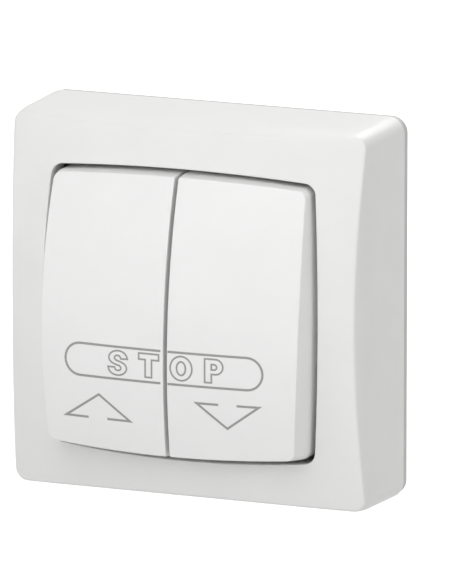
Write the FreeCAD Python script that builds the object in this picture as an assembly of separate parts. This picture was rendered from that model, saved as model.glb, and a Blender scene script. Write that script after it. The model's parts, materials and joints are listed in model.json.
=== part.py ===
import FreeCAD, Part
import math
import os

from FreeCAD import Vector

# Surface-mounted roller shutter switch with two rocking keys.
# Origin: middle of the wall face. The wall is the plane Y = 0, the front faces -Y and +Z is up.
# A depth is measured out from the wall, so depth q lies at Y = -q. All sizes are in millimetres.

# Housing
housing_side = 76.0
housing_corner_radius = 3.4
housing_wall = 2.0
housing_front_wall = 2.2
shoulder_start = 12.1
shoulder_radius = 34.7
dome_radius = 192.4
front_edge_bevel = 0.4
bezel_width = 10.38
opening_bulge = 1.33
opening_corner_radius = 2.8
opening_edge_bevel = 0.25
skirt_wall = 1.4
skirt_length = 9.8

# Keys
key_gap = 0.95
key_split = 0.8
key_corner_radius = 3.0
key_split_corner_bevel = 0.5
key_edge_bevel = 0.35
key_draft = 0.13
key_crest_level = -8.7
key_front_radius = 113.6
key_front_yaw = 4.0
key_wall = 1.6
key_face_wall = 1.8
key_rib_level = 6.0
key_rib_thickness = 1.2
key_rib_half_width = 5.5
key_leg_half_width = 4.5
key_leg_thickness = 1.3
key_leg_nose = 0.8
key_leg_nose_height = 1.0

# Rocking motion
key_tilt = 4.5
contact_ratio = 1.5

# Heights stacked up from the wall
plate_thickness = 2.0
boss_height = 2.0
base_floor = 2.0
strip_thickness = 0.8
contact_lift = 2.5
chamber_front = 2.7
cover_thickness = 1.6
pivot_height = 6.4
rocker_plate_rise = 2.0
rocker_plate_thickness = 2.4
bezel_rise = 6.8
key_rise = 5.3
key_skirt_drop = 2.0
key_draft_drop = 1.73

# Rockers under the keys
rocker_length = 24.0
cheek_thickness = 2.0
cheek_half_width = 2.9
pivot_pin_radius = 1.5
bearing_clearance = 0.05
side_play = 0.3
ear_thickness = 2.0
ear_half_width = 3.2
ear_room = 1.7
clip_clearance = 0.15

# Plungers and springs
plunger_radius = 2.0
plunger_clearance = 0.05
plunger_nose_radius = 0.8
plunger_tip_clearance = 0.2
plunger_nose_length = 3.2
plunger_head_length = 3.6
plunger_tube_wall = 1.05
plunger_tube_lift = 2.7
plunger_bore_depth = 0.6
plunger_spring_radius = 1.2
plunger_spring_wire = 0.2
plunger_spring_turns = 2
leaf_thickness = 0.3
leaf_width = 5.0
leaf_bend_level = -10.3
leaf_bend_radius = 1.0
leaf_lean = 30.0
leaf_foot_length = 5.0
leaf_slack = 0.1
leaf_hole_side = 1.7
leaf_nub_side = 1.5
leaf_nub_height = 0.9
leaf_nub_level = -7.6
spring_end_gap = 0.02
wire_sides = 4

# Wall plate
plate_recess = 0.25
wall_screw_edge = 8.0
wall_slot_length = 8.0
wall_slot_width = 4.2
window_width = 22.0
window_height = 8.0
window_edge = 6.0
window_corner_bevel = 0.8
rib_thickness = 1.2
rib_height = 3.0
rib_play = 0.2
rib_start = 8.0
rib_length = 20.0
boss_side = 5.6

# Snap hooks of the wall plate and catches of the housing
hook_offset = 20.0
hook_width = 8.0
hook_thickness = 1.4
hook_height = 6.4
hook_nose = 0.8
hook_nose_height = 1.4
hook_nose_flat = 0.2
hook_wall_gap = 0.5
hook_clearance = 0.2
catch_extra_width = 1.0
catch_height = 1.6
catch_ramp = 0.9
catch_sink = 1.0

# Mechanism base and cover
base_corner_bevel = 1.0
base_end_wall = 1.7
base_top_wall = 2.5
base_side_wall = 2.8
chamber_half_width = 4.0
chamber_end_play = 1.8
channel_play = 0.1
pocket_wall = 2.2
cover_inset = 8.0
cover_corner_bevel = 3.0
screw_access_side = 4.4
window_play_across = 0.4
window_play_along = 0.9

# Screws through the mechanism into the wall plate
screw_offset = 7.7
screw_level = 9.3
screw_shank_radius = 1.2
screw_hole_radius = 1.5
screw_pilot_radius = 1.25
screw_pilot_depth = 3.0
screw_tip_gap = 0.3
screw_head_radius = 2.3
screw_head_height = 1.5
slot_width = 0.8
slot_depth = 0.7

# Contacts
strip_width = 4.0
contact_length = 19.0
contact_guide_width = 7.7
contact_guide_length = 2.4
knuckle_radius = 0.8
cradle_clearance = 0.05
cradle_length = 2.6
cradle_drop = 0.25
tip_inset = 1.3
tip_radius = 1.4
tip_thickness = 0.6
fixed_tip_radius = 1.5
contact_gap_closed = 0.08
stop_thickness = 1.3
stop_inset = 0.9
stop_gap = 0.13

# Terminals
clamp_width = 6.4
clamp_length = 4.8
clamp_drop = 0.8
clamp_wall = 1.0
clamp_play = 0.1
terminal_screw_radius = 1.45
terminal_screw_clearance = 0.05
terminal_screw_length = 4.5
wire_room = 1.8
tongue_end_gap = 0.2
wire_entry_width = 3.6
wire_entry_height = 3.2
wire_entry_lift = 0.1

# Clearance of cutting tools, points looked at along an edge, and how closely two places have to agree
margin = 1.0
edge_samples = 5
same_place = 1e-6
on_surface = 1e-3

base_back = plate_thickness + boss_height
floor_depth = base_back + base_floor
strip_top = floor_depth + strip_thickness
contact_depth = strip_top + contact_lift
contact_top = contact_depth + strip_thickness
base_front = contact_depth + chamber_front
cover_front = base_front + cover_thickness
pivot_depth = cover_front + pivot_height
rocker_bottom = pivot_depth + rocker_plate_rise
rocker_top = rocker_bottom + rocker_plate_thickness
dome_depth = pivot_depth + bezel_rise
crest_depth = dome_depth + key_rise

half_side = housing_side / 2
half_opening = half_side - bezel_width
key_outer = half_opening - key_gap
key_width = key_outer - key_split / 2
pole_x = key_split / 2 + key_width / 2
rocker_half = key_width / 2 - key_wall - ear_room - ear_thickness - side_play
rocker_reach = rocker_length / 2
tube_end = contact_top + plunger_tube_lift
tube_bore = plunger_radius + plunger_clearance
tube_half = tube_bore + plunger_tube_wall
contact_tilt = key_tilt * contact_ratio
chamber_reach = contact_length / 2 + chamber_end_play
terminal_level = chamber_reach + pocket_wall + clamp_play + clamp_length / 2
screw_x = pole_x + screw_offset
clamp_front = base_front - clamp_drop
key_corner_fall = (key_outer - key_crest_level) ** 2 / (2 * key_front_radius)
key_corner_depth = crest_depth - key_outer * math.tan(math.radians(key_front_yaw)) - key_corner_fall
draft_start = key_corner_depth - key_draft_drop


def at(x, depth, z):
    return Vector(x, -depth, z)


def block(x0, x1, depth0, depth1, z0, z1):
    return Part.makeBox(x1 - x0, depth1 - depth0, z1 - z0, at(x0, depth1, z0))


def post(x, z, radius, depth0, depth1):
    return Part.makeCylinder(radius, depth1 - depth0, at(x, depth0, z), Vector(0, -1, 0))


def square_post(x, z, side, depth0, depth1):
    return block(x - side / 2, x + side / 2, depth0, depth1, z - side / 2, z + side / 2)


def pin(x0, x1, depth, z, radius):
    return Part.makeCylinder(radius, x1 - x0, at(x0, depth, z), Vector(1, 0, 0))


def outline_face(points):
    return Part.Face(Part.makePolygon(points + points[:1]))


def polygon_along_x(points, x0, x1):
    """Extrude a closed outline of (z, depth) points from x0 to x1."""
    return outline_face([at(x0, depth, z) for z, depth in points]).extrude(Vector(x1 - x0, 0, 0))


def turned(shape, depth, degrees):
    """Rock a shape about the line along X at this depth: positive presses its bottom in."""
    return shape.rotated(at(0, depth, 0), Vector(1, 0, 0), degrees)


def at_rest(shape):
    return turned(shape, pivot_depth, -key_tilt)


def handed(shape, side):
    """The pieces are drawn for the right-hand key; the left-hand ones are mirrored."""
    if side == "right":
        return shape
    return shape.mirror(Vector(0, 0, 0), Vector(1, 0, 0))


def fuse_all(shapes):
    return shapes[0].multiFuse(shapes[1:]).removeSplitter()


def four_ways(shape):
    """The shape and its three copies round the middle of the switch."""
    return [shape.rotated(Vector(0, 0, 0), Vector(0, 1, 0), angle) for angle in (0, 90, 180, 270)]


def shared(shapes):
    common = shapes[0]
    for shape in shapes[1:]:
        common = common.common(shape)
    return common


def with_round_corners(body, centre, lean, radius, depth0, depth1, section):
    """Swap each sharp corner for a section turned about its centre, between the leaning sides' tangents."""
    start = at(centre, depth0, centre)
    toward = Vector(math.cos(lean), 0, math.sin(lean))
    other = Vector(toward.z, 0, toward.x)
    span = radius + housing_corner_radius + margin
    wedge = outline_face([start, start + toward * span, start + (toward + other) * span,
                          start + other * span])
    wedge = wedge.extrude(at(0, depth1 - depth0, 0))
    section.rotate(start, Vector(0, -1, 0), math.degrees(lean))
    corner = section.revolve(start, Vector(0, -1, 0), math.degrees(toward.getAngle(other)))
    return fuse_all([body.cut(four_ways(wedge))] + four_ways(corner))


def depth_edges(shape):
    """Straight edges that run along the depth."""
    found = []
    for edge in shape.Edges:
        ends = [vertex.Point for vertex in edge.Vertexes]
        if len(ends) == 2 and abs(abs(ends[0].y - ends[1].y) - (ends[0] - ends[1]).Length) < same_place:
            found.append(edge)
    return found


def bevelled_block(width, height, depth0, depth1, bevel, level=0.0):
    low = level - height / 2
    solid = block(-width / 2, width / 2, depth0, depth1, low, low + height)
    return solid.makeChamfer(bevel, depth_edges(solid))


def barrel_prism(half_width, radius, depth0, depth1):
    """A square prism whose four sides bulge outwards as arcs; radius 0 leaves its corners sharp."""
    a = half_width
    b = half_width + opening_bulge
    corners = [at(-a, depth0, -a), at(a, depth0, -a), at(a, depth0, a), at(-a, depth0, a)]
    middles = [at(0, depth0, -b), at(b, depth0, 0), at(0, depth0, b), at(-b, depth0, 0)]
    sides = []
    for i, middle in enumerate(middles):
        sides.append(Part.Arc(corners[i], middle, corners[(i + 1) % 4]).toShape())
    prism = Part.Face(Part.Wire(sides)).extrude(at(0, depth1 - depth0, 0))
    return prism.makeFillet(radius, depth_edges(prism)) if radius else prism


def drafted_barrel(half_width, radius, depth0, depth1):
    """The barrel prism's outline drawn in by the draft as it rises; radius 0 leaves its corners sharp."""
    side_radius = (half_width ** 2 + opening_bulge ** 2) / (2 * opening_bulge)
    setback = side_radius - half_width - opening_bulge
    rise = depth1 - depth0
    drawn_in = key_draft * rise
    cone = Part.makeCone(side_radius, side_radius - drawn_in, rise, at(-setback, depth0, 0),
                         Vector(0, -1, 0))
    body = shared(four_ways(cone))
    if radius == 0:
        return body
    reach = side_radius - radius
    centre = (math.sqrt(2 * reach ** 2 - setback ** 2) - setback) / 2
    section = outline_face([at(centre, depth0, centre), at(centre + radius, depth0, centre),
                            at(centre + radius - drawn_in, depth1, centre), at(centre, depth1, centre)])
    lean = math.atan2(centre, centre + setback)
    return with_round_corners(body, centre, lean, radius, depth0, depth1, section)


def dome_level(x, z):
    """Depth of the domed front at this place."""
    return dome_depth - dome_radius + math.sqrt(dome_radius ** 2 - x ** 2 - z ** 2)


def wall_section(inset, inner, z, depth0, top):
    """The housing's wall seen from above, filled from x = inner: straight, then bent inwards."""
    radius = shoulder_radius - inset

    def wall(depth):
        x = half_side - inset - radius + math.sqrt(radius ** 2 - (depth - shoulder_start) ** 2)
        return at(x, depth, z)

    arc = Part.Arc(wall(shoulder_start), wall((shoulder_start + top) / 2), wall(top)).toShape()
    frame = Part.makePolygon([wall(top), at(inner, top, z), at(inner, depth0, z),
                              at(half_side - inset, depth0, z), wall(shoulder_start)])
    return Part.Face(Part.Wire(Part.__sortEdges__([arc] + frame.Edges)))


def shouldered_body(inset, depth0):
    """The housing's four walls as one solid, drawn in by an inset; only the outside has round corners."""
    far = half_side + margin
    slab = wall_section(inset, -far, -far, depth0, dome_depth + margin).extrude(Vector(0, 0, 2 * far))
    body = shared(four_ways(slab))
    if inset:
        return body
    centre = half_side - housing_corner_radius
    top = dome_level(centre, centre) + margin
    section = wall_section(inset, centre, centre, depth0, top)
    return with_round_corners(body, centre, 0.0, housing_corner_radius, depth0, top, section)


def front_dome(inset):
    return Part.makeSphere(dome_radius - inset, at(0, dome_depth - dome_radius, 0))


def dome_edges(shape, low, high):
    """Edges on the domed front between two distances from the middle."""
    centre = at(0, dome_depth - dome_radius, 0)
    found = []
    for edge in shape.Edges:
        points = edge.discretize(edge_samples)
        on_dome = all(abs((p - centre).Length - dome_radius) < on_surface for p in points)
        if on_dome and all(low < max(abs(p.x), abs(p.z)) < high for p in points):
            found.append(edge)
    return found


def hook_outer():
    return half_side - housing_wall - hook_wall_gap - hook_nose


def hook_outline(sign):
    """Side view of a snap hook, as (z, depth) points."""
    outer = hook_outer()
    inner = outer - hook_thickness
    tip = plate_thickness + hook_height
    under = tip - hook_nose_height
    points = [(inner, plate_thickness), (outer, plate_thickness), (outer, under),
              (outer + hook_nose, under), (outer + hook_nose_flat, tip), (inner, tip)]
    return [(sign * z, depth) for z, depth in points]


def catch_outline(sign):
    """Side view of the ledge that a hook snaps over, as (z, depth) points."""
    wall = half_side - housing_wall + catch_sink
    lip = hook_outer() + hook_clearance
    top = plate_thickness + hook_height - hook_nose_height - hook_clearance
    low = top - catch_height
    points = [(lip, top), (wall, top), (wall, low - catch_ramp), (lip, low)]
    return [(sign * z, depth) for z, depth in points]


def housing():
    """One moulding: walls, domed bezel, opening, guide skirt and snap catches."""
    bezel_middle = (half_side + half_opening + opening_bulge) / 2
    skirt_start = dome_depth - skirt_length
    outer = shouldered_body(0.0, plate_thickness).common(front_dome(0.0))
    outer = outer.makeChamfer(front_edge_bevel, dome_edges(outer, bezel_middle, half_side))
    hollow = shouldered_body(housing_wall, plate_thickness - margin).common(front_dome(housing_front_wall))
    skirt = barrel_prism(half_opening + skirt_wall, opening_corner_radius + skirt_wall,
                         skirt_start, dome_depth)
    opening = barrel_prism(half_opening, opening_corner_radius, skirt_start - margin, dome_depth + margin)
    shell = outer.cut(hollow).fuse(skirt.common(front_dome(housing_front_wall / 2))).cut(opening)
    shell = shell.makeChamfer(opening_edge_bevel, dome_edges(shell, 0.0, bezel_middle))
    catches = []
    half_width = (hook_width + catch_extra_width) / 2
    for x in (-hook_offset, hook_offset):
        for sign in (-1, 1):
            catches.append(polygon_along_x(catch_outline(sign), x - half_width, x + half_width))
    return fuse_all([shell] + catches)


def wall_slot(x):
    """A slot along X for a wall screw."""
    radius = wall_slot_width / 2
    reach = wall_slot_length / 2 - radius
    ends = [post(x + side * reach, 0, radius, -margin, plate_thickness + margin) for side in (-1, 1)]
    middle = block(x - reach, x + reach, -margin, plate_thickness + margin, -radius, radius)
    return fuse_all([middle] + ends)


def screw_places():
    return [(-screw_x, -screw_level), (screw_x, screw_level)]


def wall_plate():
    """The back plate that is screwed to the wall."""
    side = housing_side - 2 * plate_recess
    plate = block(-side / 2, side / 2, 0.0, plate_thickness, -side / 2, side / 2)
    plate = plate.makeFillet(housing_corner_radius - plate_recess, depth_edges(plate))
    added = []
    removed = []
    for x, z in screw_places():
        added.append(square_post(x, z, boss_side, plate_thickness, base_back))
        added.append(square_post(x, -z, boss_side, plate_thickness, base_back))
        removed.append(post(x, z, screw_pilot_radius, base_back - screw_pilot_depth, base_back + margin))
    rib_outer = half_side - housing_wall - rib_play
    rib_front = plate_thickness + rib_height
    for sign in (-1, 1):
        removed.append(wall_slot(sign * (half_side - wall_screw_edge)))
        edges = sorted([sign * rib_outer, sign * (rib_outer - rib_thickness)])
        for low in (-rib_start - rib_length, rib_start):
            added.append(block(edges[0], edges[1], plate_thickness, rib_front, low, low + rib_length))
        for x in (-hook_offset, hook_offset):
            added.append(polygon_along_x(hook_outline(sign), x - hook_width / 2, x + hook_width / 2))
    window_level = half_side - window_edge - window_height / 2
    removed.append(bevelled_block(window_width, window_height, -margin, plate_thickness + margin,
                                  window_corner_bevel, window_level))
    return fuse_all([plate] + added).cut(removed)


def key_front(inset):
    """The right key's crowned front: a barrel across the key, yawed outwards."""
    centre = at(0, crest_depth - key_front_radius, key_crest_level)
    across = Vector(2 * half_side, 0, 0)
    barrel = Part.makeCylinder(key_front_radius - inset, across.Length, centre - across * 0.5, across)
    return barrel.rotated(at(0, crest_depth, 0), Vector(0, 0, 1), key_front_yaw)


def key_pair(inset, corner_radius):
    """Both keys as one block: straight below the rim, drafted above it."""
    lower = barrel_prism(key_outer - inset, corner_radius, cover_front, draft_start)
    return lower.fuse(drafted_barrel(key_outer - inset, corner_radius, draft_start, crest_depth + margin))


def right_half(inset):
    near = key_split / 2 + inset
    return block(near, half_side, 0, crest_depth + 2 * margin, -half_side, half_side)


def front_edges(shape):
    """The edges round the crowned front face of a key."""
    front = max(shape.Faces, key=lambda face: face.CenterOfMass.dot(Vector(0, -1, 0)))
    return front.OuterWire.Edges


def key(side):
    """A key cap: crowned shell with ribs that sit on the rocker and two clip legs."""
    outer = key_pair(0.0, key_corner_radius).common(right_half(0.0))
    corners = []
    for edge in outer.Edges:
        points = edge.discretize(edge_samples)
        upright = abs(points[0].z - points[-1].z) < abs(points[0].y - points[-1].y)
        if upright and all(abs(p.x - key_split / 2) < same_place for p in points):
            corners.append(edge)
    outer = outer.makeChamfer(key_split_corner_bevel, corners).common(key_front(0.0))
    outer = outer.makeChamfer(key_edge_bevel, front_edges(outer))
    hollow = key_pair(key_wall, 0.0).common(right_half(key_wall)).common(key_front(key_face_wall))
    shell = outer.cut(hollow)
    inside = []
    for sign in (-1, 1):
        level = sign * key_rib_level
        inside.append(block(pole_x - key_rib_half_width, pole_x + key_rib_half_width,
                            rocker_top, crest_depth,
                            level - key_rib_thickness / 2, level + key_rib_thickness / 2))
        leg_inner = rocker_reach + clip_clearance
        leg_outer = leg_inner + key_leg_thickness
        nose_top = rocker_bottom - clip_clearance
        nose_low = nose_top - key_leg_nose_height
        points = [(leg_inner, crest_depth), (leg_inner, nose_top), (leg_inner - key_leg_nose, nose_top),
                  (leg_inner, nose_low), (leg_outer, nose_low), (leg_outer, crest_depth)]
        inside.append(polygon_along_x([(sign * z, depth) for z, depth in points],
                                      pole_x - key_leg_half_width, pole_x + key_leg_half_width))
    keep = key_front(key_face_wall / 2)
    ribs = [at_rest(piece).common(keep) for piece in inside]
    below = at_rest(block(-half_side, half_side, 0, pivot_depth - key_skirt_drop, -half_side, half_side))
    return handed(fuse_all([shell.cut(below)] + ribs), side)


def rocker(side):
    """The moulded rocker: plate, two cheeks with pivot pins, and the plunger's tube."""
    low_x = pole_x - rocker_half
    high_x = pole_x + rocker_half
    pieces = [block(low_x, high_x, rocker_bottom, rocker_top, -rocker_reach, rocker_reach)]
    cheek_points = [(-cheek_half_width, rocker_bottom), (-pivot_pin_radius, pivot_depth - cheek_half_width),
                    (pivot_pin_radius, pivot_depth - cheek_half_width), (cheek_half_width, rocker_bottom)]
    for x0, x1 in ((low_x, low_x + cheek_thickness), (high_x - cheek_thickness, high_x)):
        pieces.append(polygon_along_x(cheek_points, x0, x1))
    pin_reach = side_play + ear_thickness
    pieces.append(pin(low_x - pin_reach, low_x, pivot_depth, 0, pivot_pin_radius))
    pieces.append(pin(high_x, high_x + pin_reach, pivot_depth, 0, pivot_pin_radius))
    pieces.append(square_post(pole_x, 0, 2 * tube_half, tube_end, rocker_bottom))
    bore = post(pole_x, 0, tube_bore, tube_end - margin, rocker_bottom + plunger_bore_depth)
    return handed(at_rest(fuse_all(pieces).cut(bore)), side)


def plunger_levels():
    """Depths of the plunger's tip, of its shoulder and of the spring's seat on it."""
    tip = contact_top + plunger_tip_clearance
    shoulder = tip + plunger_nose_length
    return tip, shoulder, shoulder + plunger_head_length


def plunger(side):
    """The sprung plunger that pushes the see-saw contact over."""
    tip, shoulder, seat = plunger_levels()
    head = post(pole_x, 0, plunger_radius, shoulder, seat)
    nose = post(pole_x, 0, plunger_nose_radius, tip, shoulder)
    return handed(at_rest(fuse_all([head, nose])), side)


def spring_half_turn(start, rise, axis_x, axis_z, wire, sense):
    """Half a coil: a wire section carried round a half circle that climbs by the rise."""
    end = at(2 * axis_x - start.x, -start.y + rise, axis_z)
    normal = (end - start).cross(Vector(0, 0, sense))
    corners = []
    for i in range(wire_sides):
        angle = 2 * math.pi * (i + 0.5) / wire_sides
        corners.append(start + Vector(wire * math.cos(angle), wire * math.sin(angle), 0))
    return outline_face(corners).revolve((start + end) * 0.5, normal, 180), end


def spring(axis_x, axis_z, radius, wire, turns, depth0, depth1):
    """A compression spring along the depth: closed ends and climbing half turns."""
    low = depth0 + wire + spring_end_gap
    high = depth1 - wire - spring_end_gap
    climbing = 2 * turns - 2
    rises = [0.0] + [(high - low) / climbing] * climbing + [0.0]
    point = at(axis_x + radius, low, axis_z)
    halves = []
    for i, rise in enumerate(rises):
        half, point = spring_half_turn(point, rise, axis_x, axis_z, wire, 1 if i % 2 else -1)
        halves.append(half)
    return halves[0].multiFuse(halves[1:])


def plunger_spring(side):
    seat = plunger_levels()[2]
    coil = spring(pole_x, 0, plunger_spring_radius, plunger_spring_wire, plunger_spring_turns,
                  seat, rocker_bottom + plunger_bore_depth)
    return handed(at_rest(coil), side)


def return_spring(side):
    """The bent leaf that lifts the key's lower end again: a foot on the cover, a bend and a leaning arm."""
    lean = math.radians(leaf_lean)
    tilt = math.radians(key_tilt)
    centre = at(0, cover_front + leaf_thickness + leaf_bend_radius, leaf_bend_level)

    def bend(radius, share):
        turn = share * (math.pi / 2 + lean)
        return centre + Vector(0, radius * math.cos(turn), -radius * math.sin(turn))

    start = bend(leaf_bend_radius + leaf_thickness, 1)
    under = pivot_depth + rocker_plate_rise / math.cos(tilt) - start.z * math.tan(tilt) - leaf_slack
    length = (under + start.y) / (math.cos(lean) + math.sin(lean) * math.tan(tilt))
    arm = Vector(0, -math.cos(lean), math.sin(lean)) * length
    foot = Vector(0, 0, leaf_foot_length)
    edges = []
    ends = []
    for radius in (leaf_bend_radius, leaf_bend_radius + leaf_thickness):
        low, middle, high = [bend(radius, share) for share in (0, 0.5, 1)]
        edges += [Part.makeLine(low + foot, low), Part.Arc(low, middle, high).toShape(),
                  Part.makeLine(high, high + arm)]
        ends.append((low + foot, high + arm))
    edges += [Part.makeLine(ends[0][i], ends[1][i]) for i in (0, 1)]
    leaf = Part.Face(Part.Wire(Part.__sortEdges__(edges))).extrude(Vector(leaf_width, 0, 0))
    leaf.translate(Vector(pole_x - leaf_width / 2, 0, 0))
    hole = square_post(pole_x, leaf_nub_level, leaf_hole_side, cover_front - margin, cover_front + margin)
    return handed(leaf.cut(hole), side)


def terminal_places():
    return (-pole_x, 0.0, pole_x)


def mechanism_base():
    """The moulded block with contact chambers, terminal pockets and wire entries."""
    half_width = screw_x + base_side_wall
    half_strip = strip_width / 2 + channel_play
    half_pocket = clamp_width / 2 + clamp_play
    pocket_low = terminal_level - clamp_length / 2 - clamp_play
    pocket_high = terminal_level + clamp_length / 2 + clamp_play
    low = -chamber_reach - base_end_wall
    high = pocket_high + base_top_wall
    body = bevelled_block(2 * half_width, high - low, base_back, base_front, base_corner_bevel,
                          (low + high) / 2)
    open_front = base_front + margin
    removed = [post(x, z, screw_hole_radius, base_back - margin, open_front) for x, z in screw_places()]
    removed.append(block(-pole_x, pole_x, floor_depth, open_front, -half_strip, half_strip))
    entry_low = strip_top + wire_entry_lift
    for x in terminal_places():
        removed.append(block(x - half_pocket, x + half_pocket, floor_depth - clamp_wall, open_front,
                             pocket_low, pocket_high))
        removed.append(block(x - wire_entry_width / 2, x + wire_entry_width / 2, entry_low,
                             entry_low + wire_entry_height, pocket_high - margin, high + margin))
        removed.append(block(x - half_strip, x + half_strip, floor_depth, open_front, 0, pocket_low + margin))
    for x in (-pole_x, pole_x):
        removed.append(block(x - chamber_half_width, x + chamber_half_width, floor_depth, open_front,
                             -chamber_reach, chamber_reach))
    stop_low = -contact_length / 2 - stop_thickness + stop_inset
    drop = (contact_length / 2) * math.sin(math.radians(contact_tilt))
    stop_top = contact_depth - drop - stop_gap
    stops = [block(x - chamber_half_width, x + chamber_half_width, floor_depth, stop_top,
                   stop_low, stop_low + stop_thickness) for x in (-pole_x, pole_x)]
    return fuse_all([body.cut(removed)] + stops)


def bearing_ear(x0):
    """An upright ear with the hole that a rocker's pivot pin turns in."""
    x1 = x0 + ear_thickness
    shoulder = pivot_depth + ear_half_width / 2
    top = pivot_depth + ear_half_width
    points = [(-ear_half_width, cover_front), (-ear_half_width, shoulder), (-ear_half_width / 2, top),
              (ear_half_width / 2, top), (ear_half_width, shoulder), (ear_half_width, cover_front)]
    hole = pin(x0 - margin, x1 + margin, pivot_depth, 0, pivot_pin_radius + bearing_clearance)
    return polygon_along_x(points, x0, x1).cut(hole)


def mechanism_cover():
    """The cover that closes the view past the keys, with the rockers' bearing ears."""
    side = housing_side - 2 * cover_inset
    back = base_front - margin
    front = cover_front + margin
    plate = bevelled_block(side, side, base_front, cover_front, cover_corner_bevel)
    removed = [post(x, z, screw_hole_radius, back, front) for x, z in screw_places()]
    swing = (pivot_depth - tube_end) * math.sin(math.radians(key_tilt))
    half_across = tube_half + window_play_across
    half_along = tube_half + swing + window_play_along
    added = []
    for pole in (-pole_x, pole_x):
        for x0 in (pole - rocker_half - side_play - ear_thickness, pole + rocker_half + side_play):
            added.append(bearing_ear(x0))
        added.append(square_post(pole, leaf_nub_level, leaf_nub_side,
                                 cover_front, cover_front + leaf_nub_height))
        removed.append(block(pole - half_across, pole + half_across, back, front, -half_along, half_along))
    for x in terminal_places():
        removed.append(square_post(x, terminal_level, screw_access_side, back, front))
    return fuse_all([plate.cut(removed)] + added)


def screw_slot(x, z, depth):
    """The slot across a screw's head."""
    reach = screw_head_radius + margin
    return block(x - reach, x + reach, depth - slot_depth, depth + margin,
                 z - slot_width / 2, z + slot_width / 2)


def mechanism_screws():
    """Two screws from the cover through the base into the wall plate's bosses."""
    tip = base_back - screw_pilot_depth + screw_tip_gap
    head_top = cover_front + screw_head_height
    screws = []
    for x, z in screw_places():
        shank = post(x, z, screw_shank_radius, tip, cover_front)
        head = post(x, z, screw_head_radius, cover_front, head_top)
        screws.append(fuse_all([shank, head]).cut(screw_slot(x, z, head_top)))
    return Part.makeCompound(screws)


def common_strip():
    """The live strip: a cradle under each see-saw and a tongue to its terminal."""
    half_strip = strip_width / 2
    reach = pole_x + half_strip
    tongue_end = terminal_level + clamp_length / 2 - tongue_end_gap
    pieces = [block(-reach, reach, floor_depth, strip_top, -half_strip, half_strip),
              block(-half_strip, half_strip, floor_depth, strip_top, 0, tongue_end)]
    removed = []
    for x in (-pole_x, pole_x):
        pieces.append(block(x - half_strip, x + half_strip, floor_depth, contact_depth - cradle_drop,
                            -cradle_length / 2, cradle_length / 2))
        removed.append(pin(x - half_strip - margin, x + half_strip + margin, contact_depth, 0,
                           knuckle_radius + cradle_clearance))
    return fuse_all(pieces).cut(removed)


def output_strip(x):
    """The strip from a fixed contact to its output terminal."""
    start = tip_level() - fixed_tip_radius - cradle_drop
    tongue_end = terminal_level + clamp_length / 2 - tongue_end_gap
    return block(x - strip_width / 2, x + strip_width / 2, floor_depth, strip_top, start, tongue_end)


def see_saw(side):
    """The moving contact: a strip that rocks on a half-round knuckle."""
    half_length = contact_length / 2
    half_guide = contact_guide_width / 2
    half_strip = strip_width / 2
    strip = block(pole_x - half_strip, pole_x + half_strip, contact_depth, contact_top,
                  -half_length, half_length)
    guide = block(pole_x - half_guide, pole_x + half_guide, contact_depth, contact_top,
                  -contact_guide_length / 2, contact_guide_length / 2)
    knuckle = pin(pole_x - half_strip, pole_x + half_strip, contact_depth, 0, knuckle_radius)
    return handed(turned(fuse_all([strip, guide, knuckle]), contact_depth, contact_tilt), side)


def tip_level():
    return contact_length / 2 - tip_inset


def moving_tip(side):
    """The contact rivet's head under the see-saw's upper end."""
    disc = post(pole_x, tip_level(), tip_radius, contact_depth - tip_thickness, contact_depth)
    return handed(turned(disc, contact_depth, contact_tilt), side)


def fixed_tip(x):
    """The contact rivet's head on an output strip."""
    swing = math.radians(contact_tilt)
    reach = tip_level() + tip_radius
    closed = contact_depth - reach * math.sin(swing) - tip_thickness * math.cos(swing)
    return post(x, tip_level(), fixed_tip_radius, strip_top, closed - contact_gap_closed)


def terminal_clamp(x):
    """A tunnel clamp round a strip's tongue."""
    half_width = clamp_width / 2
    half_length = clamp_length / 2
    ring = block(x - half_width, x + half_width, floor_depth - clamp_wall, clamp_front,
                 terminal_level - half_length, terminal_level + half_length)
    tunnel = block(x - half_width + clamp_wall, x + half_width - clamp_wall, floor_depth,
                   clamp_front - clamp_wall, terminal_level - clamp_length, terminal_level + clamp_length)
    hole = post(x, terminal_level, terminal_screw_radius + terminal_screw_clearance,
                clamp_front - clamp_wall - margin, clamp_front + margin)
    return ring.cut([tunnel, hole])


def terminal_screw(x):
    """The headless screw that presses a wire against the tongue."""
    tip = strip_top + wire_room
    front = tip + terminal_screw_length
    screw = post(x, terminal_level, terminal_screw_radius, tip, front)
    return screw.cut(screw_slot(x, terminal_level, front))


def nodes():
    made = {
        "housing": housing(),
        "wall_plate": wall_plate(),
        "mechanism_base": mechanism_base(),
        "mechanism_cover": mechanism_cover(),
        "mechanism_screws": mechanism_screws(),
        "common_strip": common_strip(),
    }
    for side in ("left", "right"):
        made[side + "_key"] = key(side)
        made[side + "_rocker"] = rocker(side)
        made[side + "_plunger"] = plunger(side)
        made[side + "_plunger_spring"] = plunger_spring(side)
        made[side + "_return_spring"] = return_spring(side)
        made[side + "_contact"] = see_saw(side)
        made[side + "_contact_tip"] = moving_tip(side)
    for name, x in (("up", -pole_x), ("down", pole_x)):
        made[name + "_strip"] = output_strip(x)
        made[name + "_fixed_tip"] = fixed_tip(x)
    for name, x in zip(("up", "common", "down"), terminal_places()):
        made[name + "_clamp"] = terminal_clamp(x)
        made[name + "_terminal_screw"] = terminal_screw(x)
    return made


os.makedirs("parts", exist_ok=True)
for name, shape in nodes().items():
    shape.exportStep("parts/" + name + ".step")
    print(name, len(shape.Solids), "solid", round(shape.Volume, 2), "mm3", shape.isValid())
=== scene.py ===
import json
import math

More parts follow.
